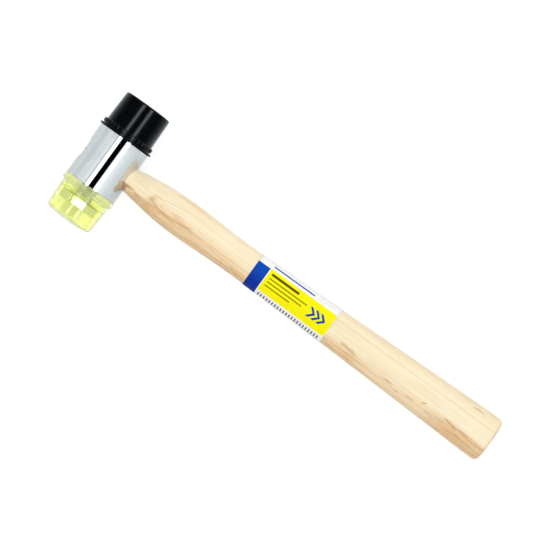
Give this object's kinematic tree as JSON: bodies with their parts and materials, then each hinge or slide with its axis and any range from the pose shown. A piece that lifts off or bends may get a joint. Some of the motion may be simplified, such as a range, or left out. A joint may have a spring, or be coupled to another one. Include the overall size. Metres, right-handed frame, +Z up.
{
  "type": "body hammer",
  "caption": "Two-way soft-face body hammer: chromed cylindrical head with a black and a translucent yellow screw-in face, on a waisted wooden handle with a paper label.",
  "frame": {"origin": "on the surface the hammer lies on, under the middle of its bounding box", "axes": "+X along the handle from the head to the butt, +Y along the head from the yellow face to the black face, +Z up, across the flat of the hammer"},
  "size_m": [0.2902, 0.0812, 0.0353],
  "materials": {
    "chromed_steel": "polished chrome plate",
    "black_plastic": "moulded, semi-gloss",
    "yellow_plastic": "clear tinted moulding",
    "plated_steel": "bright zinc plate",
    "handle_wood": "sanded, thin clear lacquer",
    "wedge_wood": "sawn",
    "plain_steel": "bare, driven flush",
    "printed_paper": "glossy printed wrap"
  },
  "bodies": {
    "hammer": {"head_body": "chromed_steel", "handle": "handle_wood", "wooden_wedge": "wedge_wood", "steel_wedge": "plain_steel", "label": "printed_paper"},
    "black_screw": {"black_stud": "plated_steel"},
    "black_tip": {"black_face": "black_plastic", "black_nut": "plated_steel"},
    "yellow_screw": {"yellow_stud": "plated_steel"},
    "yellow_tip": {"yellow_face": "yellow_plastic", "yellow_nut": "plated_steel"}
  },
  "joints": [
    {"name": "black_stud_travel", "type": "slide", "parent": "hammer", "child": "black_screw", "axis": [0, 1, 0], "range_m": [0, 0.0088]},
    {"name": "black_unscrew", "type": "hinge", "parent": "black_screw", "child": "black_tip", "pos_m": [-0.12748, 0.017, 0.01765], "axis": [0, 1, 0], "range_deg": [0, 2520]},
    {"name": "yellow_stud_travel", "type": "slide", "parent": "hammer", "child": "yellow_screw", "axis": [0, -1, 0], "range_m": [0, 0.0088]},
    {"name": "yellow_unscrew", "type": "hinge", "parent": "yellow_screw", "child": "yellow_tip", "pos_m": [-0.12748, -0.017, 0.01765], "axis": [0, -1, 0], "range_deg": [0, 2520]}
  ],
  "couplings": [
    {"joint": "black_stud_travel", "follows": "black_unscrew", "m_per_rad": 0.00019894},
    {"joint": "yellow_stud_travel", "follows": "yellow_unscrew", "m_per_rad": 0.00019894}
  ]
}
